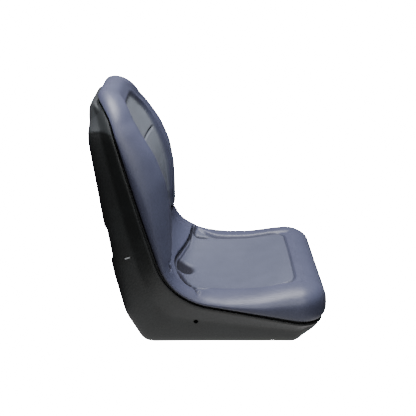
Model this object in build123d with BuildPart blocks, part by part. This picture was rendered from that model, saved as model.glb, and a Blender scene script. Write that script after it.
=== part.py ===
from build123d import *
import os
from math import cos, hypot, pi, radians, sin, sqrt, tan

# A bucket seat for a ride-on garden machine, in millimetres.
# +X is forward, +Y is the sitter's left and +Z is up.
# The origin is the centre of the four mounting holes, on the flat underside.

# The rim, where the cushion meets the shell, seen from the side.
# It runs straight back along the seat, round a bend and straight up the back.
# It levels out at the front and curls away from the sitter at the top.
SEAT_RUN = 276.0
BACK_RUN = 378.0
BEND_R = 150.0
BEND_Z = 254.0
SEAT_FALL = radians(11.2)
BACK_LEAN = radians(17.4)
FRONT_LEVEL_RUN = 85.0
FRONT_LEVEL_R = 440.0
TOP_CURL_RUN = 62.0
TOP_CURL_R = 90.0

# The rim seen square on.
SEAT_WIDTH = 470.0
BACK_TAPER = 63.0
FRONT_CORNER_R = 70.0
TOP_CORNER_R = 92.0

# The vinyl skin, with soft rolled edges and a sunken panel between the bolsters.
EDGE_BULGE = 8.0
TOP_BULGE = 12.0
BULGE_LEVEL = 0.3
RIM_TUCK = 3.0
BOLSTER_HEIGHT = 76.0
PANEL_WALL = 16.0
PANEL_TOP_GAP = 41.0
PANEL_TOP_R = 72.0
PANEL_FRONT_GAP = 52.0
CREASE_WIDTH = 5.0
CREASE_DEPTH = 9.0
CREASE_HALF = 192.0
GROOVE_WIDTH = 4.0
GROOVE_DEPTH = 5.0
GROOVE_HALF = 124.0
INLAY_HALF = 163.0
INLAY_CORNER_R = 36.0
INLAY_FRONT = 76.0
INLAY_GROOVE_R = 2.4
SCOOP_HALF_LENGTH = 30.0
SCOOP_HALF_WIDTH = 56.0
SCOOP_DEPTH = 7.0

# The steel boards that the foam is moulded on, one under the seat and one in the back.
BOARD_SHEET = 2.0
SEAT_BOARD_Z = 60.0
SEAT_BOARD_FRONT_X = 180.0
SEAT_BOARD_BACK_X = -95.0
SEAT_BOARD_HALF = 182.0
SEAT_BOARD_SKIRT = 15.0
BACK_BOARD_DEPTH = 14.0
BACK_BOARD_LOW = 3.0
BACK_BOARD_HIGH = 322.0
BACK_BOARD_HALF = 172.0
BACK_BOARD_TOP_HALF = 112.0
BACK_BOARD_CORNER_R = 28.0
FOAM_EDGE = 25.0
FOAM_SLOPE = 30.0
FOAM_TRIM = 3.0
END_LIFT = 1.0
FIT_GAP = 0.3

# The moulded shell.
SHELL_WALL = 4.0
SHELL_FLOOR = 6.0
SHELL_BACK_X = -294.0
SHELL_BACK_Z = 475.0
SHELL_HIP_X = -246.0
SHELL_HIP_Z = 178.0
SHELL_KNEE_X = -221.0
SHELL_KNEE_Z = 72.0
BASE_BACK_X = -178.0
FRONT_OVERHANG = 106.0
FRONT_SLOPE = radians(31.0)
SHELL_TOP_ROUND = 46.0
SHELL_TOP_EDGE = 18.0
UPSTAND_INSET = 9.0
UPSTAND_DROP = 2.0
RIM_DROP = 6.5
RIM_LIP = 3.5
RIM_INSET = 1.5
RIM_LAND = 13.0
FLANK_IN = 20.0
FLANK_SHARE = 0.38
WALL_IN = 4.0
CORNER_IN = 26.0
FULL_DEPTH = 80.0
TRIM = 3.0

# A shallow band across the shell's back, and the holes in its flanks.
BAND_LOW_Z = 201.0
BAND_HIGH_Z = 288.0
BAND_DEPTH = 7.0
FLANK_HOLE_R = 5.5
FLANK_HOLE_X = -57.0
FLANK_HOLE_Z = 59.0
FLANK_BOSS_R = 11.0
FLANK_BOSS_IN = 35.0
SLOT_LENGTH = 16.0
SLOT_HEIGHT = 4.0
SLOT_DEPTH = 62.0

# The mounting points, and the rails that carry the seat board above them.
BOLT_SPACING_X = 292.1
BOLT_SPACING_Y = 285.75
BOLT_CLEAR_R = 4.5
NUT_BORE_R = 3.4
NUT_FLATS = 13.0
NUT_HEIGHT = 6.5
RAIL_LENGTH = 312.0
RAIL_WEB = 42.0
RAIL_LIP = 12.0
RAIL_SHEET = 2.5
SCREW_SPACING_X = 196.0
SCREW_R = 2.5
SCREW_HEAD_R = 5.4
SCREW_HEAD_H = 3.0
SCREW_END = 4.0

# The hooks that hold the back board into the flank slots.
HOOK_SHEET = 3.0
HOOK_FOOT = 24.0
HOOK_WIDTH = 12.0

# The drain at the lowest part of the seat.
DRAIN_R = 4.5
DRAIN_WALL = 1.5
DRAIN_FLANGE_R = 9.0
DRAIN_FLANGE_H = 1.5
DRAIN_END_Z = 50.0
DRAIN_HOLE_R = 4.0

BEND_RUN = BEND_R * (pi / 2 - SEAT_FALL - BACK_LEAN)
BACK_START = SEAT_RUN + BEND_RUN
RIM_RUN = BACK_START + BACK_RUN
CREASE_RUN = SEAT_RUN + 0.31 * BEND_RUN
TONGUE_RUN = SEAT_RUN + 0.89 * BEND_RUN
GROOVE_RUN = BACK_START + 0.59 * BACK_RUN
SCOOP_RUN = SEAT_RUN + 0.13 * BEND_RUN
DRAIN_RUN = SEAT_RUN + 0.18 * BEND_RUN
SLOT_RUN = BACK_START + 0.074 * BACK_RUN
CURL_START = RIM_RUN - TOP_CURL_RUN
BASE_FRONT_X = SEAT_RUN - FRONT_OVERHANG
FLANK_BOSS_Y = SEAT_WIDTH / 2 - FLANK_BOSS_IN

# Guide curves, as distance along the rim from the front against height above the rim.
BOLSTER_GUIDE = (
    (0.0, BOLSTER_HEIGHT),
    (0.20 * SEAT_RUN, 0.96 * BOLSTER_HEIGHT),
    (0.65 * SEAT_RUN, 0.49 * BOLSTER_HEIGHT),
    (0.93 * SEAT_RUN, 0.32 * BOLSTER_HEIGHT),
    (SEAT_RUN + 0.30 * BEND_RUN, 0.25 * BOLSTER_HEIGHT),
    (SEAT_RUN + 0.60 * BEND_RUN, 0.20 * BOLSTER_HEIGHT),
    (SEAT_RUN + 0.84 * BEND_RUN, 0.27 * BOLSTER_HEIGHT),
    (BACK_START + 0.02 * BACK_RUN, 0.47 * BOLSTER_HEIGHT),
    (BACK_START + 0.20 * BACK_RUN, 0.80 * BOLSTER_HEIGHT),
    (BACK_START + 0.44 * BACK_RUN, BOLSTER_HEIGHT),
    (BACK_START + 0.64 * BACK_RUN, 0.91 * BOLSTER_HEIGHT),
    (BACK_START + 0.84 * BACK_RUN, 0.67 * BOLSTER_HEIGHT),
    (RIM_RUN, 0.68 * BOLSTER_HEIGHT),
)
PANEL_EDGE_GUIDE = (
    (0.0, 76.0),
    (0.20 * SEAT_RUN, 72.0),
    (0.64 * SEAT_RUN, 33.0),
    (SEAT_RUN, 14.0),
    (SEAT_RUN + 0.34 * BEND_RUN, 24.0),
    (SEAT_RUN + 0.80 * BEND_RUN, 26.0),
    (BACK_START + 0.08 * BACK_RUN, 27.0),
    (BACK_START + 0.21 * BACK_RUN, 41.0),
    (BACK_START + 0.35 * BACK_RUN, 54.0),
    (BACK_START + 0.47 * BACK_RUN, 57.0),
    (BACK_START + 0.68 * BACK_RUN, 48.0),
    (BACK_START + 0.80 * BACK_RUN, 42.0),
    (RIM_RUN, 34.0),
)
PANEL_CENTRE_GUIDE = (
    (0.0, 76.0),
    (0.22 * SEAT_RUN, 75.0),
    (0.64 * SEAT_RUN, 24.0),
    (SEAT_RUN, -9.0),
    (SEAT_RUN + 0.30 * BEND_RUN, -32.0),
    (SEAT_RUN + 0.62 * BEND_RUN, -18.0),
    (BACK_START, 7.0),
    (BACK_START + 0.21 * BACK_RUN, 27.0),
    (BACK_START + 0.47 * BACK_RUN, 42.0),
    (BACK_START + 0.68 * BACK_RUN, 33.0),
    (BACK_START + 0.80 * BACK_RUN, 33.0),
    (RIM_RUN, 34.0),
)
# Half width of the sunken panel, and width of the rolled edge, along the rim.
PANEL_HALF_GUIDE = (
    (0.0, 172.0),
    (0.90 * SEAT_RUN, 178.0),
    (SEAT_RUN + 0.30 * BEND_RUN, 202.0),
    (SEAT_RUN + 0.85 * BEND_RUN, 196.0),
    (BACK_START + 0.12 * BACK_RUN, 162.0),
    (BACK_START + 0.40 * BACK_RUN, 156.0),
    (BACK_START + 0.75 * BACK_RUN, 130.0),
    (RIM_RUN, 116.0),
)
ROLL_GUIDE = (
    (0.0, 68.0),
    (0.80 * SEAT_RUN, 62.0),
    (SEAT_RUN + 0.30 * BEND_RUN, 32.0),
    (SEAT_RUN + 0.85 * BEND_RUN, 32.0),
    (BACK_START + 0.15 * BACK_RUN, 74.0),
    (BACK_START + 0.70 * BACK_RUN, 70.0),
    (RIM_RUN, 44.0),
)


def guide(run, knots):
    """Value of a guide curve at a distance along the rim, as a monotone cubic."""
    if run <= knots[0][0]:
        return knots[0][1]
    if run >= knots[-1][0]:
        return knots[-1][1]
    at = max(k for k in range(len(knots) - 1) if knots[k][0] <= run)

    def slope(k):
        return (knots[k + 1][1] - knots[k][1]) / (knots[k + 1][0] - knots[k][0])

    def tangent(k):
        if k in (0, len(knots) - 1):
            return slope(min(k, len(knots) - 2))
        before = slope(k - 1)
        after = slope(k)
        return 0.0 if before * after <= 0 else 2 * before * after / (before + after)

    span = knots[at + 1][0] - knots[at][0]
    t = (run - knots[at][0]) / span
    value = knots[at][1] * (1 + 2 * t) * (1 - t) ** 2 + knots[at + 1][1] * t * t * (3 - 2 * t)
    return value + span * (tangent(at) * t * (1 - t) ** 2 - tangent(at + 1) * t * t * (1 - t))


def clamp(t):
    """Keep a share between 0 and 1."""
    return min(1.0, max(0.0, t))


def rim(run):
    """The rim in side view: its point, and the direction that faces the sitter there."""
    swing = clamp((run - SEAT_RUN) / BEND_RUN)
    angle = (pi / 2 - SEAT_FALL) * (1 - swing) + BACK_LEAN * swing
    nx = cos(angle)
    nz = sin(angle)
    along = max(0.0, SEAT_RUN - max(run, FRONT_LEVEL_RUN))
    along -= max(0.0, min(run, CURL_START) - BACK_START)
    x = along * nz - BEND_R * nx
    z = BEND_Z - BEND_R * nz - along * nx
    if run > CURL_START:
        turn = angle + (run - CURL_START) / TOP_CURL_R
        arm = TOP_CURL_R
    else:
        turn = angle + max(0.0, FRONT_LEVEL_RUN - run) / FRONT_LEVEL_R
        arm = -FRONT_LEVEL_R
    return x + arm * (cos(turn) - nx), z + arm * (sin(turn) - nz), cos(turn), sin(turn)


def bulge(run):
    """How far the skin's edge stands out past the rim, more toward the top."""
    share = clamp((run - CURL_START) / TOP_CURL_RUN)
    return EDGE_BULGE + (TOP_BULGE - EDGE_BULGE) * share * share * (3 - 2 * share)


def rim_plane(run):
    """The plane square to the rim, with its axes across the seat and toward the sitter."""
    x, z, nx, nz = rim(run)
    return Plane(origin=(x, 0, z), x_dir=(0, 1, 0), z_dir=(nz, 0, -nx))


def side_half(run):
    """Half width of the rim before its corners are rounded."""
    return SEAT_WIDTH / 2 - BACK_TAPER * clamp((run - BACK_START) / BACK_RUN) ** 2


def half_width(run, grow=0.0):
    """Half width of the rim with its corners rounded, grown outward or shrunk inward."""
    if run < FRONT_CORNER_R:
        corner = FRONT_CORNER_R
        beyond = FRONT_CORNER_R - run
    elif run > RIM_RUN - TOP_CORNER_R:
        corner = TOP_CORNER_R
        beyond = run - RIM_RUN + TOP_CORNER_R
    else:
        return side_half(run) + grow
    return side_half(run) - corner + sqrt(max(0.0, (corner + grow) ** 2 - beyond ** 2))


def inside(beyond, across, half, corner):
    """Distance inside a strip whose end is rounded off, from the distance to that end."""
    dx = across - half + corner
    du = corner - beyond
    return corner - hypot(dx, du) if dx > 0 and du > 0 else min(half - across, beyond)


def skin(run, across):
    """Height of the vinyl skin above the rim at a place across the seat."""
    bolster = guide(run, BOLSTER_GUIDE)
    half = guide(run, PANEL_HALF_GUIDE)
    edge = guide(run, PANEL_EDGE_GUIDE)
    centre = guide(run, PANEL_CENTRE_GUIDE)
    dish = centre + (edge - centre) * min(1.0, across / (half - PANEL_WALL)) ** 2
    sunk = min(inside(RIM_RUN - PANEL_TOP_GAP - run, across, half, PANEL_TOP_R), run - PANEL_FRONT_GAP)
    share = clamp(sunk / PANEL_WALL)
    height = bolster + (dish - bolster) * share * share * (3 - 2 * share)
    scoop = clamp(1 - ((run - SCOOP_RUN) / SCOOP_HALF_LENGTH) ** 2)
    height -= SCOOP_DEPTH * scoop * clamp(1 - (across / SCOOP_HALF_WIDTH) ** 2)
    front = inside(run, across, side_half(run), FRONT_CORNER_R)
    top = inside(RIM_RUN - run, across, side_half(run), TOP_CORNER_R)
    rolled = clamp((min(front, top) + bulge(run)) / guide(run, ROLL_GUIDE))
    level = BULGE_LEVEL * bolster
    return level + (height - level) * sqrt(1 - (1 - rolled) ** 2)


def on_skin(run, across):
    """A point on the skin in the seat's own axes."""
    x, z, nx, nz = rim(run)
    height = skin(run, abs(across))
    return x + height * nx, across, z + height * nz


FOAM_DEPTH = BACK_BOARD_DEPTH + FOAM_TRIM
FOAM_BEND_DEPTH = (rim(SEAT_RUN)[1] - SEAT_BOARD_Z + FOAM_TRIM) / rim(SEAT_RUN)[3]
FOAM_GUIDE = (
    (0.8 * SEAT_RUN, 0.8 * FOAM_BEND_DEPTH),
    (SEAT_RUN, FOAM_BEND_DEPTH),
    (SEAT_RUN + 0.26 * BEND_RUN, 1.25 * FOAM_BEND_DEPTH),
    (SEAT_RUN + 0.50 * BEND_RUN, 1.15 * FOAM_BEND_DEPTH),
    (SEAT_RUN + 0.75 * BEND_RUN, 0.85 * FOAM_BEND_DEPTH),
    (BACK_START, 0.5 * (FOAM_DEPTH + 0.6 * FOAM_BEND_DEPTH)),
    (BACK_START + 0.20 * BACK_RUN, FOAM_DEPTH),
    (RIM_RUN, FOAM_DEPTH),
)


def foam_depth(run):
    """Depth of the foam below the rim: level under the seat, then rising up the back."""
    x, z, nx, nz = rim(run)
    dish = (z - SEAT_BOARD_Z + FOAM_TRIM) / nz if run < SEAT_RUN else guide(run, FOAM_GUIDE)
    share = clamp((min(run, RIM_RUN - run) - FOAM_EDGE) / FOAM_SLOPE)
    return max(END_LIFT, share * share * (3 - 2 * share) * dish)


def shell_outline(wall, floor):
    """Side outline of the shell from high up its back, under the base, to the front."""
    top = BACK_RUN
    return (
        (SHELL_BACK_X + wall, SHELL_BACK_Z + top),
        (SHELL_BACK_X + wall, SHELL_BACK_Z),
        (SHELL_HIP_X + wall, SHELL_HIP_Z),
        (SHELL_KNEE_X + wall, SHELL_KNEE_Z),
        (BASE_BACK_X + wall, floor - TRIM),
        (BASE_FRONT_X - wall, floor - TRIM),
        (BASE_FRONT_X - wall + top, floor - TRIM + top * tan(FRONT_SLOPE)),
    )


def shell_depth(run, wall, floor):
    """Depth of the shell square to the rim, closing to a rounded edge at the top."""
    x, z, nx, nz = rim(run)
    hits = []
    outline = shell_outline(wall, floor)
    for (ax, az), (bx, bz) in zip(outline, outline[1:]):
        cross = nx * (bz - az) - nz * (bx - ax)
        depth = ((x - ax) * (bz - az) - (z - az) * (bx - ax)) / cross
        along = (nx * (z - az) - nz * (x - ax)) / cross
        if depth > 0 and 0 <= along <= 1:
            hits.append(depth)
    beyond = clamp((run - RIM_RUN + SHELL_TOP_ROUND) / SHELL_TOP_ROUND)
    return SHELL_TOP_EDGE + (min(hits) - SHELL_TOP_EDGE) * sqrt(1 - beyond ** 2)


def draw_both(points):
    """Draw a line of points across the seat, from the left to its mirror on the right."""
    Polyline(*points, *[(-y, n) for y, n in reversed(points)])


def cushion_section(run):
    """Outline of the cushion across the seat: the skin above and the foam's underside."""
    widest = half_width(run, bulge(run))
    panel = min(guide(run, PANEL_HALF_GUIDE), 0.75 * widest)
    places = [widest - (widest - panel) * share for share in (0.0, 0.03, 0.12, 0.28, 0.52, 0.78)]
    places += [panel, panel - PANEL_WALL / 2, panel - PANEL_WALL]
    places += [(panel - PANEL_WALL) * share for share in (0.72, 0.48, 0.24)]
    left = [(place, skin(run, place)) for place in places]
    beyond = clamp(1 - min(run + EDGE_BULGE, RIM_RUN + TOP_BULGE - run) / (2 * EDGE_BULGE))
    lift = BULGE_LEVEL * guide(run, BOLSTER_GUIDE) * (1 - sqrt(1 - beyond ** 2))
    lift += END_LIFT
    edge = half_width(run, -RIM_TUCK)
    tuck = (edge + 0.75 * (widest - edge), lift + 0.25 * (left[0][1] - lift))
    left = [(edge, lift), tuck] + left
    right = [(-y, n) for y, n in reversed(left)]
    Spline(*left, (0, skin(run, 0)), *right)
    flat = half_width(run, -RIM_LAND) - FOAM_EDGE + RIM_LAND
    draw_both([(edge, lift), (flat, lift), (flat - FOAM_SLOPE, lift - foam_depth(run))])


def shell_section(run, inset, wall, floor, top):
    """Outline across the shell: a rim lip, a flank that leans in, a wall and a round corner."""
    depth = shell_depth(run, wall, floor)
    share = min(1.0, depth / FULL_DEPTH)
    lip = RIM_DROP + RIM_LIP
    edge = half_width(run, -inset)
    flank = half_width(run, -RIM_INSET) - share * FLANK_IN - wall
    line = lip + FLANK_SHARE * (depth - lip)
    low = line + 0.55 * (depth - line)
    corner = flank - share * (WALL_IN + CORNER_IN)
    draw_both([(flank, -line), (edge, -lip), (edge, -top)])
    bend = [(flank, -line), (flank - share * WALL_IN, -low), (corner, -depth)]
    Spline(*bend, tangents=((-share * WALL_IN, line - low), (-1, 0)))
    Spline(*[(-y, n) for y, n in bend], tangents=((share * WALL_IN, line - low), (1, 0)))
    Line((corner, -depth), (-corner, -depth))


def upstand_section(run):
    """Outline of the low wall inside the rim, close under the foam's edge."""
    half = half_width(run, -UPSTAND_INSET)
    draw_both([(half, -UPSTAND_DROP), (half, -RIM_DROP - RIM_LIP / 2)])
    Line((half, -UPSTAND_DROP), (-half, -UPSTAND_DROP))


def spread(low, high, count):
    """Evenly spaced distances along the rim, without the last one."""
    return [low + (high - low) * k / count for k in range(count)]


MIDDLE_RUNS = [FRONT_CORNER_R * share for share in (0.35, 0.65)]
MIDDLE_RUNS += spread(FRONT_CORNER_R, SEAT_RUN, 5)
MIDDLE_RUNS += spread(SEAT_RUN, BACK_START, 7)
MIDDLE_RUNS += spread(BACK_START, RIM_RUN - TOP_CORNER_R, 8)
MIDDLE_RUNS += [RIM_RUN - TOP_CORNER_R * share for share in (1.0, 0.72, 0.48, 0.28)]
END_SHARES = (0.93, 0.72, 0.35, -0.3, -1.3)
CUSHION_RUNS = [-share * EDGE_BULGE for share in END_SHARES]
CUSHION_RUNS += MIDDLE_RUNS
CUSHION_RUNS += [RIM_RUN + share * TOP_BULGE for share in reversed(END_SHARES)]


def groove_section(run, half, depth):
    """Outline that cuts the skin to an even depth across the seat."""
    floor = [(half * k / 6, skin(run, half * abs(k) / 6) - depth) for k in range(6, -7, -1)]
    Spline(*floor)
    over = BOLSTER_HEIGHT + depth
    Polyline(floor[0], (half, over), (-half, over), floor[-1])


def inlay_path():
    """Points on the skin round the three open sides of the seat's inlaid panel."""
    corner = INLAY_CORNER_R
    turn = [(1 - cos(k * pi / 8), 1 - sin(k * pi / 8)) for k in range(5)]
    side = [(run, INLAY_HALF) for run in spread(0.97 * SEAT_RUN, INLAY_FRONT + corner, 5)]
    side += [(INLAY_FRONT + corner * back, INLAY_HALF - corner * out) for out, back in turn]
    side += [(INLAY_FRONT, (INLAY_HALF - corner) / 2)]
    return [on_skin(run, y) for run, y in side] + [on_skin(run, -y) for run, y in reversed(side)]


def back_x(z):
    """How far back the shell's back lies at a height."""
    share = (z - SHELL_HIP_Z) / (SHELL_BACK_Z - SHELL_HIP_Z)
    return SHELL_HIP_X + (SHELL_BACK_X - SHELL_HIP_X) * share


def band_section(grow):
    """Side outline of the shallow band across the back, with a long ramp below it."""
    low = BAND_LOW_Z - grow
    high = BAND_HIGH_Z + grow
    floor = BAND_DEPTH + grow
    ramp = 2.5 * BAND_DEPTH
    behind = SHELL_BACK_X - BAND_DEPTH
    Polyline(
        (behind, low),
        (back_x(low) + grow, low),
        (back_x(low + ramp) + floor, low + ramp),
        (back_x(high - floor) + floor, high - floor),
        (back_x(high) + grow, high),
        (behind, high),
        close=True,
    )


def back_plane(depth):
    """The plane along the straight of the back, with its axes across the seat and up the back."""
    x, z, nx, nz = rim(BACK_START)
    return Plane(origin=(x, 0, z), x_dir=(0, 1, 0), z_dir=(nx, 0, nz)).offset(-depth)


def back_board_outline(grow):
    """Outline of the back board, narrower at the top, grown by a margin."""
    low = BACK_BOARD_LOW - grow
    high = BACK_BOARD_HIGH + grow
    wide = BACK_BOARD_HALF + grow
    narrow = BACK_BOARD_TOP_HALF + grow
    Polyline((wide, low), (narrow, high), (-narrow, high), (-wide, low), close=True)


def hook_blade(side):
    """Outline of a hook's blade, from behind the back board out to the flank slot."""
    top = -BACK_BOARD_DEPTH - BOARD_SHEET - FIT_GAP
    arm = HOOK_TIP - 3 * SHELL_WALL
    high = HOOK_WIDTH / 2 - SLOT_DEPTH
    low = high - HOOK_WIDTH
    blade = [(HOOK_IN, top), (HOOK_IN + HOOK_FOOT, top), (arm, high), (HOOK_TIP, high)]
    blade += [(HOOK_TIP, low), (arm, low), (HOOK_IN, top - HOOK_WIDTH)]
    Polyline(*[(side * y, n) for y, n in blade], close=True)


def end_runs(inset):
    """The places for sections through a piece whose outline lies inside the rim."""
    return [inset + 0.5, inset + 3.5] + MIDDLE_RUNS + [RIM_RUN - inset - 5.0, RIM_RUN - inset - 0.5]


RAIL_LOW_Z = SHELL_FLOOR + FIT_GAP
RAIL_HIGH_Z = SEAT_BOARD_Z - BOARD_SHEET - FIT_GAP
RAIL_Y = BOLT_SPACING_Y / 2
NUT_Z = RAIL_LOW_Z + RAIL_SHEET + FIT_GAP
DRAIN_X, DRAIN_Y, DRAIN_TOP_Z = on_skin(DRAIN_RUN, 0.0)
DRAIN_OUT_R = DRAIN_R + DRAIN_WALL
DRAIN_SEAT_Z = DRAIN_TOP_Z - DRAIN_FLANGE_H
SLOT_UP = SLOT_RUN - BACK_START
SLOT_Y = half_width(SLOT_RUN, -RIM_INSET) - FLANK_IN
HOOK_TIP = SLOT_Y - HOOK_SHEET / 2
HOOK_IN = BACK_BOARD_HALF - HOOK_FOOT - HOOK_WIDTH
ON_FLOOR = (Align.CENTER, Align.CENTER, Align.MIN)

os.makedirs("parts", exist_ok=True)

# The shell's body up to its rim, with the low wall inside the rim and the band across its back.
with BuildPart() as body:
    for run in end_runs(RIM_INSET):
        with BuildSketch(rim_plane(run)):
            with BuildLine():
                shell_section(run, RIM_INSET, 0.0, 0.0, RIM_DROP)
            make_face()
    loft()
    for run in end_runs(UPSTAND_INSET):
        with BuildSketch(rim_plane(run)):
            with BuildLine():
                upstand_section(run)
            make_face()
    loft()
    split(bisect_by=Plane.XY, keep=Keep.TOP)
    with BuildSketch(Plane.XZ):
        with BuildLine():
            band_section(0.0)
        make_face()
    extrude(amount=SEAT_WIDTH, both=True, mode=Mode.SUBTRACT)

# The hollow inside the shell, kept one wall clear of the band.
with BuildPart() as hollow:
    for run in end_runs(RIM_LAND):
        with BuildSketch(rim_plane(run)):
            with BuildLine():
                shell_section(run, RIM_LAND, SHELL_WALL, SHELL_FLOOR, -RIM_LIP)
            make_face()
    loft()
    split(bisect_by=Plane.XY.offset(SHELL_FLOOR), keep=Keep.TOP)
    with BuildSketch(Plane.XZ):
        with BuildLine():
            band_section(SHELL_WALL)
        make_face()
    extrude(amount=SEAT_WIDTH, both=True, mode=Mode.SUBTRACT)

# Bosses that back the bracket holes in the flanks.
with BuildPart() as bosses:
    with BuildSketch(Plane.XZ):
        with Locations((FLANK_HOLE_X, FLANK_HOLE_Z)):
            Circle(FLANK_BOSS_R)
    extrude(amount=SEAT_WIDTH, both=True)
    with BuildSketch(Plane.XZ):
        with Locations((FLANK_HOLE_X, FLANK_HOLE_Z)):
            Circle(2 * FLANK_BOSS_R)
    extrude(amount=FLANK_BOSS_Y, both=True, mode=Mode.SUBTRACT)
    add(body.part, mode=Mode.INTERSECT)

with BuildPart() as shell:
    add(body.part)
    add(hollow.part, mode=Mode.SUBTRACT)
    add(bosses.part)
    with BuildSketch(Plane.XZ):
        with Locations((FLANK_HOLE_X, FLANK_HOLE_Z)):
            Circle(FLANK_HOLE_R)
    extrude(amount=SEAT_WIDTH, both=True, mode=Mode.SUBTRACT)
    with BuildSketch(rim_plane(SLOT_RUN)):
        with Locations((SLOT_Y, -SLOT_DEPTH), (-SLOT_Y, -SLOT_DEPTH)):
            Rectangle(6 * SHELL_WALL, SLOT_LENGTH)
    extrude(amount=SLOT_HEIGHT / 2, both=True, mode=Mode.SUBTRACT)
    with BuildSketch(Plane.XY):
        with GridLocations(BOLT_SPACING_X, BOLT_SPACING_Y, 2, 2):
            Circle(BOLT_CLEAR_R)
        with GridLocations(SCREW_SPACING_X, BOLT_SPACING_Y, 2, 2):
            Circle(SCREW_R + FIT_GAP)
        with Locations((DRAIN_X, DRAIN_Y)):
            Circle(DRAIN_HOLE_R)
    extrude(amount=SHELL_FLOOR, mode=Mode.SUBTRACT)
    with GridLocations(SCREW_SPACING_X, BOLT_SPACING_Y, 2, 2):
        Cone(SCREW_HEAD_R + 2 * FIT_GAP, SCREW_R + FIT_GAP, SCREW_HEAD_H + 2 * FIT_GAP, align=ON_FLOOR,
             mode=Mode.SUBTRACT)
shell.part.label = "shell"
export_step(shell.part, "parts/shell.step")

# The moulded foam cushion and its skin.
with BuildPart() as cushion:
    for run in CUSHION_RUNS:
        with BuildSketch(rim_plane(run)):
            with BuildLine():
                cushion_section(run)
            make_face()
    loft()
    for run in (CREASE_RUN, TONGUE_RUN):
        with BuildSketch(rim_plane(run)):
            with BuildLine():
                groove_section(run, CREASE_HALF, CREASE_DEPTH)
            make_face()
    extrude(amount=CREASE_WIDTH / 2, both=True, mode=Mode.SUBTRACT)
    with BuildSketch(rim_plane(GROOVE_RUN)):
        with BuildLine():
            groove_section(GROOVE_RUN, GROOVE_HALF, GROOVE_DEPTH)
        make_face()
    extrude(amount=GROOVE_WIDTH / 2, both=True, mode=Mode.SUBTRACT)
    with BuildSketch(back_plane(BACK_BOARD_DEPTH - FIT_GAP)):
        with BuildLine():
            back_board_outline(FOAM_TRIM)
        make_face()
    extrude(amount=-BEND_R, mode=Mode.SUBTRACT)
    with BuildSketch(Plane.XY):
        with Locations(((SEAT_BOARD_FRONT_X + SEAT_BOARD_BACK_X) / 2, 0)):
            Rectangle(SEAT_BOARD_FRONT_X - SEAT_BOARD_BACK_X + FOAM_TRIM, 2 * SEAT_BOARD_HALF + FOAM_TRIM)
    extrude(amount=SEAT_BOARD_Z + FIT_GAP, mode=Mode.SUBTRACT)
    with BuildLine() as inlay:
        Spline(*inlay_path())
    with BuildSketch(Plane(origin=inlay.line @ 0, z_dir=inlay.line % 0)):
        Circle(INLAY_GROOVE_R)
    sweep(path=inlay.line, is_frenet=True, mode=Mode.SUBTRACT)
    with BuildSketch(Plane.XY.offset(DRAIN_SEAT_Z - FIT_GAP)):
        with Locations((DRAIN_X, DRAIN_Y)):
            Circle(DRAIN_FLANGE_R + FIT_GAP)
    extrude(amount=CREASE_DEPTH, mode=Mode.SUBTRACT)
    with BuildSketch(Plane.XY):
        with Locations((DRAIN_X, DRAIN_Y)):
            Circle(DRAIN_OUT_R + FIT_GAP)
    extrude(amount=DRAIN_TOP_Z, mode=Mode.SUBTRACT)
cushion.part.label = "cushion"
export_step(cushion.part, "parts/cushion.step")

# The seat board, a plate with its two sides turned down.
with BuildPart() as seat_board:
    with BuildSketch(Plane.YZ.offset(SEAT_BOARD_BACK_X)):
        with BuildLine():
            inner = SEAT_BOARD_HALF - BOARD_SHEET
            skirt_z = SEAT_BOARD_Z - SEAT_BOARD_SKIRT
            draw_both([(SEAT_BOARD_HALF, skirt_z), (SEAT_BOARD_HALF, SEAT_BOARD_Z)])
            Line((SEAT_BOARD_HALF, skirt_z), (inner, skirt_z))
            Line((-SEAT_BOARD_HALF, skirt_z), (-inner, skirt_z))
            draw_both([(inner, skirt_z), (inner, SEAT_BOARD_Z - BOARD_SHEET)])
        make_face()
    extrude(amount=SEAT_BOARD_FRONT_X - SEAT_BOARD_BACK_X)
    with BuildSketch(Plane.XY):
        with Locations((DRAIN_X, DRAIN_Y)):
            Circle(DRAIN_OUT_R + FIT_GAP)
    extrude(amount=SEAT_BOARD_Z, mode=Mode.SUBTRACT)
seat_board.part.label = "seat_board"
export_step(seat_board.part, "parts/seat_board.step")

# The back board, a flat plate with rounded corners.
with BuildPart() as back_board:
    with BuildSketch(back_plane(BACK_BOARD_DEPTH)) as back_face:
        with BuildLine():
            back_board_outline(0.0)
        make_face()
        fillet(back_face.vertices(), BACK_BOARD_CORNER_R)
    extrude(amount=-BOARD_SHEET)
back_board.part.label = "back_board"
export_step(back_board.part, "parts/back_board.step")

# Two channel rails on the shell's floor, welded to the seat board along their lips.
for name, rail_y in (("rail_left", RAIL_Y), ("rail_right", -RAIL_Y)):
    with BuildPart() as rail:
        with BuildSketch(Plane(origin=(-RAIL_LENGTH / 2, rail_y, 0), x_dir=(0, 1, 0), z_dir=(1, 0, 0))):
            with BuildLine():
                web = RAIL_WEB / 2
                lip = web + RAIL_LIP
                under = RAIL_HIGH_Z - RAIL_SHEET
                inner = web - RAIL_SHEET
                Polyline((lip, RAIL_HIGH_Z), (lip, under), (web, under), (web, RAIL_LOW_Z))
                Polyline((-lip, RAIL_HIGH_Z), (-lip, under), (-web, under), (-web, RAIL_LOW_Z))
                Line((web, RAIL_LOW_Z), (-web, RAIL_LOW_Z))
                draw_both([(lip, RAIL_HIGH_Z), (inner, RAIL_HIGH_Z), (inner, RAIL_LOW_Z + RAIL_SHEET)])
            make_face()
        extrude(amount=RAIL_LENGTH)
        with BuildSketch(Plane(origin=(0, rail_y, 0))):
            with GridLocations(BOLT_SPACING_X, 0, 2, 1):
                Circle(BOLT_CLEAR_R)
            with GridLocations(SCREW_SPACING_X, 0, 2, 1):
                Circle(SCREW_R + FIT_GAP)
        extrude(amount=RAIL_HIGH_Z, mode=Mode.SUBTRACT)
    rail.part.label = name
    export_step(rail.part, "parts/" + name + ".step")

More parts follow.
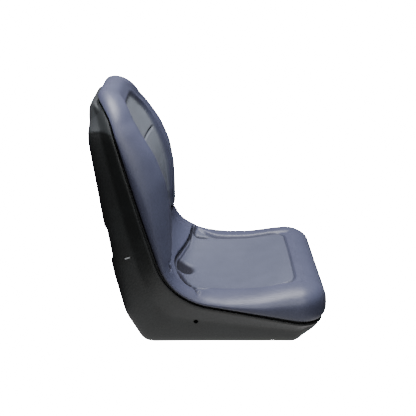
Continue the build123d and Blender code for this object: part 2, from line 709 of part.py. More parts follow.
# Weld nuts on the rails for the machine's mounting bolts.
with BuildPart() as nuts:
    with BuildSketch(Plane.XY.offset(NUT_Z)):
        with GridLocations(BOLT_SPACING_X, BOLT_SPACING_Y, 2, 2):
            RegularPolygon(NUT_FLATS / 2, 6, major_radius=False)
            Circle(NUT_BORE_R, mode=Mode.SUBTRACT)
    extrude(amount=NUT_HEIGHT)
nuts.part.label = "weld_nuts"
export_step(nuts.part, "parts/weld_nuts.step")

# Countersunk screws that hold the shell's floor to the rails.
with BuildPart() as screws:
    with BuildSketch(Plane.XY.offset(SCREW_HEAD_H)):
        with GridLocations(SCREW_SPACING_X, BOLT_SPACING_Y, 2, 2):
            Circle(SCREW_R)
    extrude(amount=NUT_Z + SCREW_END - SCREW_HEAD_H)
    with Locations((0, 0, FIT_GAP)):
        with GridLocations(SCREW_SPACING_X, BOLT_SPACING_Y, 2, 2):
            Cone(SCREW_HEAD_R, SCREW_R, SCREW_HEAD_H, align=ON_FLOOR)
    with BuildSketch(Plane.XY):
        with GridLocations(SCREW_SPACING_X, BOLT_SPACING_Y, 2, 2):
            RegularPolygon(SCREW_R, 6)
    extrude(amount=SCREW_HEAD_H / 2 + FIT_GAP, mode=Mode.SUBTRACT)
screws.part.label = "base_screws"
export_step(screws.part, "parts/base_screws.step")

# Hooks welded to the back board, whose blades show in the flank slots.
for name, side in (("hook_left", 1), ("hook_right", -1)):
    with BuildPart() as hook:
        with BuildSketch(rim_plane(SLOT_RUN)):
            with BuildLine():
                hook_blade(side)
            make_face()
        extrude(amount=HOOK_SHEET / 2, both=True)
        with BuildSketch(back_plane(BACK_BOARD_DEPTH + BOARD_SHEET + FIT_GAP)):
            with Locations((side * (HOOK_IN + HOOK_FOOT / 2), SLOT_UP + HOOK_FOOT / 2)):
                Rectangle(HOOK_FOOT, HOOK_FOOT)
        extrude(amount=-HOOK_SHEET)
    hook.part.label = name
    export_step(hook.part, "parts/" + name + ".step")

# The flanged tube that drains the seat through the foam and the seat board.
with BuildPart() as drain:
    with BuildSketch(Plane.XY.offset(DRAIN_END_Z)):
        with Locations((DRAIN_X, DRAIN_Y)):
            Circle(DRAIN_OUT_R)
    extrude(amount=DRAIN_TOP_Z - DRAIN_END_Z)
    with BuildSketch(Plane.XY.offset(DRAIN_SEAT_Z)):
        with Locations((DRAIN_X, DRAIN_Y)):
            Circle(DRAIN_FLANGE_R)
    extrude(amount=DRAIN_FLANGE_H)
    with BuildSketch(Plane.XY.offset(DRAIN_END_Z)):
        with Locations((DRAIN_X, DRAIN_Y)):
            Circle(DRAIN_R)
    extrude(amount=DRAIN_TOP_Z - DRAIN_END_Z, mode=Mode.SUBTRACT)
drain.part.label = "drain_tube"
export_step(drain.part, "parts/drain_tube.step")
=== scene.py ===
"""Bucket seat for a ride-on garden machine: its looks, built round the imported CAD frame.

Sizes are in millimetres until a mesh is written, which is in metres.
+X is forward, +Y is the sitter's left and +Z is up, as in the CAD model.
"""

import logging
import math
from dataclasses import dataclass, field
from enum import Enum

import bmesh
import bpy
import numpy as np
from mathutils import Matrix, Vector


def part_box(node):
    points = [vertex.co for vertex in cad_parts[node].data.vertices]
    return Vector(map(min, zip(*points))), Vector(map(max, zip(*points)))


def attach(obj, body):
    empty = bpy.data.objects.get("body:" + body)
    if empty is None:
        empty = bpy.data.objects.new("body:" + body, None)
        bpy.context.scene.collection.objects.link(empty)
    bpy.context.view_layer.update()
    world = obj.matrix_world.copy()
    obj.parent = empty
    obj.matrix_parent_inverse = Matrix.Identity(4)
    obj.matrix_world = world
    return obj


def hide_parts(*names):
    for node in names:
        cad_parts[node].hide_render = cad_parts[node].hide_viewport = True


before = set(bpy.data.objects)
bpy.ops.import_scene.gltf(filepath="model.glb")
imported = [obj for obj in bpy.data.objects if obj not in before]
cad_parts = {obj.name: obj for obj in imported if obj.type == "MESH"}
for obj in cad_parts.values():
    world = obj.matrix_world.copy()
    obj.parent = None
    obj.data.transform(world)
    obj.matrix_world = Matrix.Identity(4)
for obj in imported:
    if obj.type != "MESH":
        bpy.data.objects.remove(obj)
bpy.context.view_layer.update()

MM = 0.001
log = logging.getLogger("bucket_seat")
Array = np.ndarray


class Slot(Enum):
    """The record's material slots."""

    SHELL = "shell_plastic"
    VINYL = "vinyl"
    STEEL = "black_steel"
    ZINC = "zinc_steel"
    DRAIN = "drain_plastic"


# Shape helpers


def ease(share: Array) -> Array:
    """Ease a share from 0 to 1, with no slope at either end."""
    t = np.clip(share, 0.0, 1.0)
    return t * t * (3.0 - 2.0 * t)


def bell(distance: Array, width: Array | float) -> Array:
    """A rounded bump of height 1 that dies away over a width."""
    return np.exp(-((distance / width) ** 2))


def inside(beyond: Array, across: Array, half: Array, corner: float) -> Array:
    """Distance inside a strip whose end is rounded off.

    The nearer of the strip's side and its end, or the corner's radius less the distance to its centre.

    Args:
        beyond: Distance from the strip's end.
        across: Distance from the strip's middle line.
        half: Half width of the strip.
        corner: Radius of the rounded end corners.

    Returns:
        The distance inside the outline, below zero outside it.
    """
    dx = across - half + corner
    du = corner - beyond
    return np.where((dx > 0) & (du > 0), corner - np.hypot(dx, du), np.minimum(half - across, beyond))


def graded(low: float, high: float, coarse: float, fine: list[tuple[float, float, float]]) -> Array:
    """Places from one end to the other, closer together near chosen places.

    The step at a place is the least of the coarse step and each fine step plus its growth with
    distance. The running count of steps is then read back at whole numbers.

    Args:
        low: First place.
        high: Last place.
        coarse: The step far from every chosen place.
        fine: For each chosen place, the place, its step there and the step's growth with distance.

    Returns:
        The places in order.
    """
    line = np.linspace(low, high, 8000)
    step = np.full_like(line, coarse)
    for place, least, growth in fine:
        step = np.minimum(step, least + growth * np.abs(line - place))
    count = np.concatenate(([0.0], np.cumsum((line[1] - line[0]) / step[1:])))
    return np.interp(np.linspace(0.0, count[-1], int(count[-1]) + 2), count, line)


def off_line(run: Array, across: Array, path: tuple[tuple[float, float], ...]) -> Array:
    """Distance from a line of straight runs, as the least of the distances from its runs.

    Args:
        run: Distances along the rim.
        across: Distances across the seat.
        path: The line's corners, as distance along the rim and distance across the seat.

    Returns:
        The distances.
    """
    least = np.full(np.broadcast(run, across).shape, np.inf)
    for (r0, a0), (r1, a1) in zip(path, path[1:]):
        dr, da = r1 - r0, a1 - a0
        t = np.clip(((run - r0) * dr + (across - a0) * da) / (dr * dr + da * da), 0.0, 1.0)
        least = np.minimum(least, np.hypot(run - r0 - t * dr, across - a0 - t * da))
    return least


def mesh_object(name: str, points: Array, faces: Array, marks: dict[str, Array] | None = None) -> bpy.types.Object:
    """Make a smooth-shaded object from points and faces, with its seams merged.

    Args:
        name: The object's name.
        points: An array of points in millimetres, one to a row.
        faces: An array of point numbers, one face to a row.
        marks: Values for a material to read, one to a point, by name.

    Returns:
        The object, at the origin, linked to the scene.
    """
    mesh = bpy.data.meshes.new(name)
    mesh.from_pydata((points * MM).tolist(), [], faces.tolist())
    for mark, values in (marks or {}).items():
        mesh.attributes.new(mark, "FLOAT", "POINT").data.foreach_set("value", values.astype(np.float32))
    work = bmesh.new()
    work.from_mesh(mesh)
    bmesh.ops.remove_doubles(work, verts=work.verts, dist=2e-6)
    bmesh.ops.dissolve_degenerate(work, edges=work.edges, dist=1e-7)
    work.to_mesh(mesh)
    work.free()
    mesh.polygons.foreach_set("use_smooth", np.ones(len(mesh.polygons), dtype=bool))
    mesh.update()
    obj = bpy.data.objects.new(name, mesh)
    bpy.context.scene.collection.objects.link(obj)
    log.info("%s: %d faces", name, len(mesh.polygons))
    return obj


@dataclass(frozen=True)
class Guide:
    """A smooth curve of height, or width, against distance along the rim."""

    knots: tuple[tuple[float, float], ...]

    def at(self, run: Array) -> Array:
        """Read the curve, a cubic that never overshoots its knots.

        Each inner knot's slope is the harmonic mean of its neighbours', or zero at a peak.

        Args:
            run: Distances along the rim.

        Returns:
            The curve's values there.
        """
        xs, ys = np.array(self.knots, dtype=float).T
        slope = np.diff(ys) / np.diff(xs)
        product = slope[:-1] * slope[1:]
        total = np.where(product > 0, slope[:-1] + slope[1:], 1.0)
        inner = np.where(product > 0, 2.0 * product / total, 0.0)
        tangent = np.concatenate(([slope[0]], inner, [slope[-1]]))
        run = np.clip(run, xs[0], xs[-1])
        k = np.clip(np.searchsorted(xs, run, side="right") - 1, 0, len(xs) - 2)
        span = xs[k + 1] - xs[k]
        t = (run - xs[k]) / span
        value = ys[k] * (1 + 2 * t) * (1 - t) ** 2 + ys[k + 1] * t * t * (3 - 2 * t)
        return value + span * (tangent[k] * t * (1 - t) ** 2 - tangent[k + 1] * t * t * (1 - t))


@dataclass(frozen=True)
class Rim:
    """The line where the cushion meets the shell: along the seat, round a bend, up the back.

    It levels out at the front and curls away from the sitter at the top.
    """

    seat_run: float = 276.0
    back_run: float = 378.0
    bend_r: float = 150.0
    bend_z: float = 254.0
    fall: float = math.radians(11.2)
    lean: float = math.radians(17.4)
    level_run: float = 85.0
    level_r: float = 440.0
    curl_run: float = 62.0
    curl_r: float = 90.0
    half: float = 235.0
    taper: float = 63.0
    front_corner: float = 70.0
    top_corner: float = 92.0

    @property
    def bend_run(self) -> float:
        """Length of the bend."""
        return self.bend_r * (math.pi / 2 - self.fall - self.lean)

    @property
    def back_start(self) -> float:
        """Where the straight of the back starts."""
        return self.seat_run + self.bend_run

    @property
    def length(self) -> float:
        """The whole length, from the front to the top."""
        return self.back_start + self.back_run

    def seat(self, share: float) -> float:
        """A place along the seat's straight, as a share of it."""
        return share * self.seat_run

    def bend(self, share: float) -> float:
        """A place round the bend, as a share of it."""
        return self.seat_run + share * self.bend_run

    def back(self, share: float) -> float:
        """A place up the back's straight, as a share of it."""
        return self.back_start + share * self.back_run

    def side(self, run: Array) -> tuple[Array, Array, Array, Array]:
        """The rim in side view.

        The direction that faces the sitter turns evenly round the bend. The point lies one bend
        radius behind the bend's centre, or further along the straight on either side. The front's
        and the top's arcs start from the straights' ends.

        Args:
            run: Distances along the rim from the front.

        Returns:
            X, Z and the two parts of the direction that faces the sitter.
        """
        curl_start = self.length - self.curl_run
        swing = np.clip((run - self.seat_run) / self.bend_run, 0.0, 1.0)
        angle = (math.pi / 2 - self.fall) * (1 - swing) + self.lean * swing
        nx, nz = np.cos(angle), np.sin(angle)
        along = np.maximum(0.0, self.seat_run - np.maximum(run, self.level_run))
        along = along - np.maximum(0.0, np.minimum(run, curl_start) - self.back_start)
        x, z = along * nz - self.bend_r * nx, self.bend_z - self.bend_r * nz - along * nx
        level = np.maximum(0.0, self.level_run - run) / self.level_r
        turn = angle + level + np.maximum(0.0, run - curl_start) / self.curl_r
        arm = np.where(run > curl_start, self.curl_r, -self.level_r)
        return x + arm * (np.cos(turn) - nx), z + arm * (np.sin(turn) - nz), np.cos(turn), np.sin(turn)

    def place(self, run: Array, across: Array, height: Array) -> Array:
        """Points from distance along the rim, distance across the seat and height above the rim.

        Args:
            run: Distances along the rim.
            across: Distances to the left of the middle.
            height: Heights toward the sitter.

        Returns:
            An array of points, with X, Y and Z on its last axis.
        """
        run, across, height = np.broadcast_arrays(run, across, height)
        x, z, nx, nz = self.side(run)
        return np.stack((x + height * nx, across, z + height * nz), axis=-1)

    def side_half(self, run: Array) -> Array:
        """Half width before the corners are rounded, less toward the top by a square law."""
        return self.half - self.taper * np.clip((run - self.back_start) / self.back_run, 0.0, 1.0) ** 2

    def half_width(self, run: Array, grow: Array | float) -> Array:
        """Half width with rounded corners, grown outward.

        Inside a corner's length, the side less the corner's radius plus a circle's half chord.

        Args:
            run: Distances along the rim.
            grow: How far the outline is grown outward.

        Returns:
            The half widths.
        """
        front = np.maximum(0.0, self.front_corner - run)
        top = np.maximum(0.0, run - self.length + self.top_corner)
        corner = np.where(front > 0, self.front_corner, self.top_corner)
        chord = np.sqrt(np.maximum(0.0, (corner + grow) ** 2 - np.maximum(front, top) ** 2))
        rounded = (front > 0) | (top > 0)
        return self.side_half(run) + np.where(rounded, chord - corner, grow)

    def edge(self, run: Array, across: Array) -> Array:
        """Distance inside the rim's outline."""
        half = self.side_half(run)
        front = inside(run, across, half, self.front_corner)
        top = inside(self.length - run, across, half, self.top_corner)
        return np.minimum(front, top)


RIM = Rim()


# Finishes


def linear(colour: str) -> tuple[float, float, float, float]:
    """Turn an sRGB hex colour to linear red, green, blue and alpha."""
    parts = [int(colour[k:k + 2], 16) / 255 for k in (1, 3, 5)]
    return (*[p / 12.92 if p <= 0.04045 else ((p + 0.055) / 1.055) ** 2.4 for p in parts], 1.0)


def add(tree: bpy.types.NodeTree, kind: str, links: dict | None = None, **settings: object) -> bpy.types.Node:
    """Add a node to a material.

    Args:
        tree: The material's node tree.
        kind: The node's type.
        links: For each input, the socket that feeds it or the value that it takes.
        settings: The node's own settings.

    Returns:
        The node.
    """
    node = tree.nodes.new(kind)
    for name, value in settings.items():
        setattr(node, name, value)
    for name, source in (links or {}).items():
        if isinstance(source, bpy.types.NodeSocket):
            tree.links.new(source, node.inputs[name])
        else:
            node.inputs[name].default_value = source
    return node


def blank(name: str) -> tuple[bpy.types.Material, bpy.types.NodeTree, bpy.types.Node]:
    """Start a material.

    Args:
        name: The material's name.

    Returns:
        The material, its node tree and its surface shader.
    """
    material = bpy.data.materials.new(name)
    material.use_nodes = True
    return material, material.node_tree, material.node_tree.nodes["Principled BSDF"]


@dataclass(frozen=True)
class GrainedVinyl:
    """Vacuum-formed vinyl over foam: slate blue, a fine leather grain, a soft sheen on the rolls.

    The inlaid panels were formed on a drier, finer grain, so they look a little greyer and duller.
    Folds and the drain's hollow get painted shade: their colour is mixed toward near black, and they are rougher.
    """

    roll: str = "#484b60"
    panel: str = "#696e78"
    # Near black painted into the folds and the drain's hollow: painted shade.
    fold_shade: str = "#06071a"
    # Real vinyl grain is about 0.7 mm. It is drawn coarser, so that it shows in the render.
    grain_mm: float = 2.0
    cloud_mm: float = 60.0
    roughness: float = 0.46

    def make(self) -> bpy.types.Material:
        """Build the material's nodes: colour from the panel attribute, painted shade in the folds, grain from cells."""
        material, tree, shader = blank("slate_grained_vinyl")
        where = add(tree, "ShaderNodeTexCoord").outputs["Object"]
        panel = add(tree, "ShaderNodeAttribute", attribute_name="panel").outputs["Fac"]
        fold_shade = add(tree, "ShaderNodeAttribute", attribute_name="fold_shade").outputs["Fac"]
        cloud = add(tree, "ShaderNodeTexNoise", {"Vector": where, "Scale": 1 / (self.cloud_mm * MM), "Detail": 3.0})
        cells = add(tree, "ShaderNodeTexVoronoi", {"Vector": where, "Scale": 1 / (self.grain_mm * MM)},
                    feature="SMOOTH_F1")
        pores = add(tree, "ShaderNodeTexNoise", {"Vector": where, "Scale": 2.2 / (self.grain_mm * MM), "Detail": 2.0})
        body = add(tree, "ShaderNodeMix", {"Factor": panel, "A": linear(self.roll), "B": linear(self.panel)},
                   data_type="RGBA")
        shade = add(tree, "ShaderNodeMapRange", {"Value": cloud.outputs["Fac"], "From Min": 0.3, "From Max": 0.7,
                                                 "To Min": 0.94, "To Max": 1.06})
        varied = add(tree, "ShaderNodeHueSaturation", {"Color": body.outputs["Result"], "Value": shade.outputs["Result"]})
        # Painted shade: the folds and the drain's hollow are mixed toward near black.
        fold_shaded = add(tree, "ShaderNodeMix", {"Factor": fold_shade, "A": varied.outputs["Color"], "B": linear(self.fold_shade)},
                     data_type="RGBA")
        tree.links.new(fold_shaded.outputs["Result"], shader.inputs["Base Color"])
        worn = add(tree, "ShaderNodeMath", {0: fold_shade, 1: 3.0, 2: panel}, operation="MULTIPLY_ADD")
        dull = add(tree, "ShaderNodeMapRange", {"Value": worn.outputs["Value"], "From Max": 3.0, "To Min": self.roughness,
                                                "To Max": self.roughness + 0.42})
        tree.links.new(dull.outputs["Result"], shader.inputs["Roughness"])
        shader.inputs["Specular IOR Level"].default_value = 0.42
        grain = add(tree, "ShaderNodeMath", {0: cells.outputs["Distance"], 1: pores.outputs["Fac"]}, operation="ADD")
        bump = add(tree, "ShaderNodeBump", {"Height": grain.outputs["Value"], "Strength": 0.35, "Distance": 0.35 * MM})
        tree.links.new(bump.outputs["Normal"], shader.inputs["Normal"])
        return material


@dataclass(frozen=True)
class PebbledPlastic:
    """Rotationally moulded polyethylene: near black, a pebbled skin and a dull, waxy sheen.

    The cap over the top comes from a smooth part of the mould, so its skin is plain; its lighter grey is painted light
    on the shell's top.
    """

    name: str = "black_moulded_polyethylene"
    body: str = "#141617"
    dust: str = "#1e2122"
    # Lighter grey on the cap: painted light on the shell's top.
    cap_highlight: str = "#34373a"
    # Height above which the skin is smooth and painted lighter.
    cap_mm: float = 497.0
    # Real pebble grain is about 1 mm. It is drawn coarser, so that it shows in the render.
    pebble_mm: float = 2.6
    cloud_mm: float = 45.0
    roughness: float = 0.44

    def make(self) -> bpy.types.Material:
        """Build the material's nodes: pebbles from rounded cells, a little dust in clouds, painted light on the cap."""
        material, tree, shader = blank(self.name)
        where = add(tree, "ShaderNodeTexCoord").outputs["Object"]
        cloud = add(tree, "ShaderNodeTexNoise", {"Vector": where, "Scale": 1 / (self.cloud_mm * MM), "Detail": 4.0})
        pebble = add(tree, "ShaderNodeTexVoronoi", {"Vector": where, "Scale": 1 / (self.pebble_mm * MM)},
                     feature="SMOOTH_F1")
        dusty = add(tree, "ShaderNodeMapRange", {"Value": cloud.outputs["Fac"], "From Min": 0.45, "From Max": 0.75})
        body = add(tree, "ShaderNodeMix", {"Factor": dusty.outputs["Result"], "A": linear(self.body),
                                           "B": linear(self.dust)}, data_type="RGBA")
        height = add(tree, "ShaderNodeSeparateXYZ", {"Vector": where}).outputs["Z"]
        below = add(tree, "ShaderNodeMapRange", {"Value": height, "From Min": (self.cap_mm - 1) * MM,
                                                 "From Max": (self.cap_mm + 3) * MM, "To Min": 1.0, "To Max": 0.0})
        # Painted light: above the cap's height the colour turns to the lighter cap grey.
        skin = add(tree, "ShaderNodeMix", {"Factor": below.outputs["Result"], "A": linear(self.cap_highlight),
                                           "B": body.outputs["Result"]}, data_type="RGBA")
        tree.links.new(skin.outputs["Result"], shader.inputs["Base Color"])
        rough = add(tree, "ShaderNodeMapRange", {"Value": pebble.outputs["Distance"], "To Min": self.roughness,
                                                 "To Max": self.roughness + 0.14})
        tree.links.new(rough.outputs["Result"], shader.inputs["Roughness"])
        grain = add(tree, "ShaderNodeMath", {0: pebble.outputs["Distance"], 1: below.outputs["Result"]},
                    operation="MULTIPLY")
        bump = add(tree, "ShaderNodeBump", {"Height": grain.outputs["Value"], "Strength": 0.7,
                                            "Distance": 0.6 * MM}, invert=True)
        tree.links.new(bump.outputs["Normal"], shader.inputs["Normal"])
        return material


@dataclass(frozen=True)
class PaintedSteel:
    """Pressed mild steel in black paint: an even satin, with a faint orange-peel surface."""

    paint: str = "#191a1c"
    peel_mm: float = 1.6

    def make(self) -> bpy.types.Material:
        """Build the material's nodes: satin paint over fine ripples."""
        material, tree, shader = blank("black_painted_steel")
        where = add(tree, "ShaderNodeTexCoord").outputs["Object"]
        peel = add(tree, "ShaderNodeTexNoise", {"Vector": where, "Scale": 1 / (self.peel_mm * MM), "Detail": 2.0})
        tone = add(tree, "ShaderNodeMapRange", {"Value": peel.outputs["Fac"], "To Min": 0.32, "To Max": 0.46})
        tree.links.new(tone.outputs["Result"], shader.inputs["Roughness"])
        bump = add(tree, "ShaderNodeBump", {"Height": peel.outputs["Fac"], "Strength": 0.15, "Distance": 0.1 * MM})
        tree.links.new(bump.outputs["Normal"], shader.inputs["Normal"])
        shader.inputs["Base Color"].default_value = linear(self.paint)
        return material


@dataclass(frozen=True)
class ZincPlate:
    """Bright zinc plate on steel: a pale bluish metal with faint cloudy patches."""

    bright: str = "#c9ccce"
    cloudy: str = "#aeb2b5"
    patch_mm: float = 6.0

    def make(self) -> bpy.types.Material:
        """Build the material's nodes: two tones of metal in soft patches."""
        material, tree, shader = blank("zinc_plated_steel")
        where = add(tree, "ShaderNodeTexCoord").outputs["Object"]
        patch = add(tree, "ShaderNodeTexNoise", {"Vector": where, "Scale": 1 / (self.patch_mm * MM), "Detail": 3.0})
        tone = add(tree, "ShaderNodeMix", {"Factor": patch.outputs["Fac"], "A": linear(self.bright),
                                           "B": linear(self.cloudy)}, data_type="RGBA")
        tree.links.new(tone.outputs["Result"], shader.inputs["Base Color"])
        rough = add(tree, "ShaderNodeMapRange", {"Value": patch.outputs["Fac"], "To Min": 0.24, "To Max": 0.42})
        tree.links.new(rough.outputs["Result"], shader.inputs["Roughness"])
        shader.inputs["Metallic"].default_value = 1.0
        return material


@dataclass(frozen=True)
class StudioPaper:
    """Matt white background paper, lit from behind so that it stays white: no grain shows."""

    white: str = "#f2f2f2"
    glow: float = 40.0

    def make(self) -> bpy.types.Material:
        """Build the material: a matt white, with faint fibres."""
        material, tree, shader = blank("white_background_paper")
        where = add(tree, "ShaderNodeTexCoord").outputs["Object"]
        fibre = add(tree, "ShaderNodeTexNoise", {"Vector": where, "Scale": 400.0})
        rough = add(tree, "ShaderNodeMapRange", {"Value": fibre.outputs["Fac"], "To Min": 0.9, "To Max": 1.0})
        tree.links.new(rough.outputs["Result"], shader.inputs["Roughness"])
        shader.inputs["Base Color"].default_value = linear(self.white)
        shader.inputs["Specular IOR Level"].default_value = 0.0
        shader.inputs["Emission Color"].default_value = linear(self.white)
        shader.inputs["Emission Strength"].default_value = self.glow
        return material


# Pieces


@dataclass
class Cushion:
    """The moulded cushion: rolled bolsters round sunken panels, in one vinyl skin."""

    rim: Rim = RIM
    edge_bulge: float = 8.0
    top_bulge: float = 5.0
    rim_tuck: float = 3.0
    panel_wall: float = 13.0
    shoulder_width: float = 24.0
    shoulder_fall: float = 11.0
    panel_top_gap: float = 41.0
    panel_top_r: float = 92.0
    panel_front_gap: float = 52.0
    crease_depth: float = 12.0
    crease_wall: float = 2.2
    crease_slope: float = 3.2
    seat_step: float = 8.0
    groove_depth: float = 5.0
    groove_width: float = 2.6
    inlay_in: float = 10.0
    inlay_front: float = 76.0
    inlay_corner: float = 36.0
    inlay_depth: float = 4.0
    inlay_width: float = 2.8
    seat_tint: float = 0.2
    scoop_depth: float = 8.0
    scoop_length: float = 50.0
    scoop_half_width: float = 52.0
    bolster: Guide = field(init=False)
    panel_edge: Guide = field(init=False)
    panel_centre: Guide = field(init=False)
    panel_half: Guide = field(init=False)
    roll: Guide = field(init=False)
    roundness: Guide = field(init=False)
    edge_level: Guide = field(init=False)
    foam: Guide = field(init=False)

    def __post_init__(self) -> None:
        """Lay out the guide curves, as distance along the rim against height or width."""
        seat, bend, back = self.rim.seat, self.rim.bend, self.rim.back
        self.bolster = Guide((
            (0.0, 78.0), (seat(0.20), 76.0), (seat(0.65), 38.5), (seat(0.93), 24.3), (bend(0.30), 22.0),
            (bend(0.60), 20.0), (bend(0.84), 25.0), (back(0.02), 36.0), (back(0.19), 55.5), (back(0.32), 68.0),
            (back(0.46), 75.0), (back(0.58), 72.5), (back(0.68), 65.5), (back(0.77), 56.5), (back(0.86), 48.0),
            (back(1.0), 50.0)))
        self.panel_edge = Guide((
            (0.0, 76.0), (seat(0.20), 72.0), (seat(0.64), 33.0), (seat(1.0), 14.0), (bend(0.34), 13.0),
            (bend(0.62), 12.0), (bend(0.84), 18.0), (back(0.08), 24.0), (back(0.21), 36.0), (back(0.35), 46.0),
            (back(0.47), 49.0), (back(0.68), 42.0), (back(0.80), 33.0), (back(0.90), 27.0), (back(1.0), 38.0)))
        self.panel_centre = Guide((
            (0.0, 76.0), (seat(0.22), 75.0), (seat(0.64), 24.0), (seat(1.0), -6.0), (bend(0.30), -24.0),
            (bend(0.62), -15.0), (back(0.0), 4.0), (back(0.21), 22.0), (back(0.47), 34.0), (back(0.68), 29.0),
            (back(0.80), 26.0), (back(0.90), 24.0), (back(1.0), 36.0)))
        self.panel_half = Guide((
            (0.0, 172.0), (seat(0.90), 178.0), (bend(0.30), 212.0), (bend(0.85), 206.0), (back(0.12), 168.0),
            (back(0.40), 164.0), (back(0.75), 151.0), (back(1.0), 140.0)))
        self.roll = Guide((
            (0.0, 68.0), (seat(0.80), 62.0), (bend(0.30), 24.0), (bend(0.85), 27.0), (back(0.15), 50.0),
            (back(0.32), 58.0), (back(0.46), 54.0), (back(0.62), 54.0), (back(0.86), 85.0), (back(1.0), 125.0)))
        self.roundness = Guide((
            (0.0, 3.0), (seat(0.35), 2.3), (seat(0.9), 2.0), (bend(0.25), 1.45), (back(0.10), 1.45), (back(0.40), 1.5), (back(1.0), 2.26)))
        self.edge_level = Guide(((0.0, 0.3), (back(0.25), 0.3), (back(0.86), 0.06), (back(1.0), 0.08)))
        self.foam = Guide((
            (0.0, 8.0), (seat(0.6), 30.0), (seat(1.0), 45.0), (bend(0.26), 62.0), (bend(0.50), 54.0),
            (bend(0.75), 38.0), (back(0.0), 22.0), (back(0.2), 12.0), (back(1.0), 10.0)))

    def bulge(self, run: Array) -> Array:
        """How far the edge stands out past the rim, easing to more at the top."""
        share = ease((run - self.rim.length + self.rim.curl_run) / self.rim.curl_run)
        return self.edge_bulge + (self.top_bulge - self.edge_bulge) * share

    def crease_run(self, across: Array) -> Array:
        """Where the crease under the back strip runs: it eases forward from the middle to the sides."""
        return self.rim.bend(0.44) - 0.16 * self.rim.bend_run * ease(across / 190.0)

    def sunk(self, run: Array, across: Array) -> Array:
        """Distance inside the sunken panels' outline, which is rounded at the top."""
        top = inside(self.rim.length - self.panel_top_gap - run, across, self.panel_half.at(run), self.panel_top_r)
        return np.minimum(top, run - self.panel_front_gap)

    def inlay_side(self, run: Array) -> Array:
        """Half width of the seat's inlaid panel: it follows the foot of the bolster's wall."""
        return self.panel_half.at(run) - self.inlay_in

    def folds(self, run: Array, across: Array) -> tuple[Array, Array]:
        """Depth of the creases and grooves in the skin, and the share of painted shade there.

        Each line is a bell across its own path that fades out at its ends. The creases above and
        below the back strip have a steep wall in front and a long slope behind. The inlaid panel's
        line follows a rounded rectangle, and at the back it turns out round the bolster's end. The
        bolsters are pinched and crumpled, as a bell times a few rays, where the hip lip starts and ends.

        Args:
            run: Distances along the rim.
            across: Distances from the middle, not below zero.

        Returns:
            The depth in millimetres and the painted shade's share from 0 to 1.
        """
        rim = self.rim
        past = run - self.crease_run(across)
        seam_end = 1 - ease((across - 204.0) / 12.0)
        crease = bell(past, np.where(past < 0, self.crease_wall, self.crease_slope)) * seam_end
        fine = bell(past + 9.5 * (1 - ease((across - 110.0) / 70.0)), 2.0)
        fine = fine * (1 - ease((across - 150.0) / 40.0)) * ease((across - 15.0) / 30.0)
        over = run - rim.bend(0.87)
        tongue_end = 1 - ease((across - 214.0) / 16.0)
        tongue = bell(over, np.where(over < 0, self.crease_wall, 2.4 * self.crease_slope)) * tongue_end
        groove_end = self.panel_half.at(run) - self.panel_wall
        groove = bell(run - rim.back(0.59), self.groove_width) * (1 - ease((across - groove_end + 4.0) / 8.0))
        inlay = np.abs(inside(run - self.inlay_front, across, self.inlay_side(run), self.inlay_corner))
        inlay = bell(inlay, self.inlay_width) * (1 - ease((run - rim.seat(1.0)) / 16.0))
        flare = off_line(run, across, (
            (rim.seat(0.97), 166.0), (rim.bend(0.17), 167.0), (rim.bend(0.215), 171.0), (rim.bend(0.235), 180.0),
            (rim.bend(0.232), 199.0), (rim.bend(0.225), 226.0)))
        flare = bell(flare, 3.6) * (1 - ease((across - 206.0) / 20.0)) * ease((run - rim.seat(0.97)) / 14.0)
        pinch = 0.0
        for r, a in ((rim.bend(0.205), 218.0), (rim.bend(0.83), 219.0)):
            dr, da = run - r, across - a
            near = np.exp(-(dr / 5.0) ** 2 - (da / 8.0) ** 2)
            pinch = pinch + near * (1.0 + 0.5 * np.cos(5.0 * np.arctan2(dr, da) + 0.6))
        depth = self.crease_depth * (crease + tongue) + self.groove_depth * groove + self.inlay_depth * inlay
        depth = depth + 2.4 * fine + 8.0 * flare + 7.0 * pinch
        # The painted shade's share: darkest along the creases and the flare, less on the grooves, inlay line, fine line
        # and pinches.
        shade = bell(past + 0.6, 3.2) * seam_end + bell(over - 1.0, 4.5) * tongue_end + flare
        share = shade + 0.8 * groove + 0.5 * inlay + 0.6 * fine + 0.4 * pinch
        return depth, np.clip(share, 0.0, 1.0)

    def scoop(self, run: Array, across: Array) -> Array:
        """The drain's teardrop hollow, deepest near the crease: a share that falls off as a square."""
        ahead = (self.rim.bend(0.41) - run) / self.scoop_length
        wide = self.scoop_half_width * np.sqrt(np.clip(1.0 - ahead, 0.02, 1.0))
        return np.clip(1 - (across / wide) ** 2, 0.0, 1.0) * ease((1.0 - ahead) / 0.5) * ease((ahead + 0.12) / 0.25)

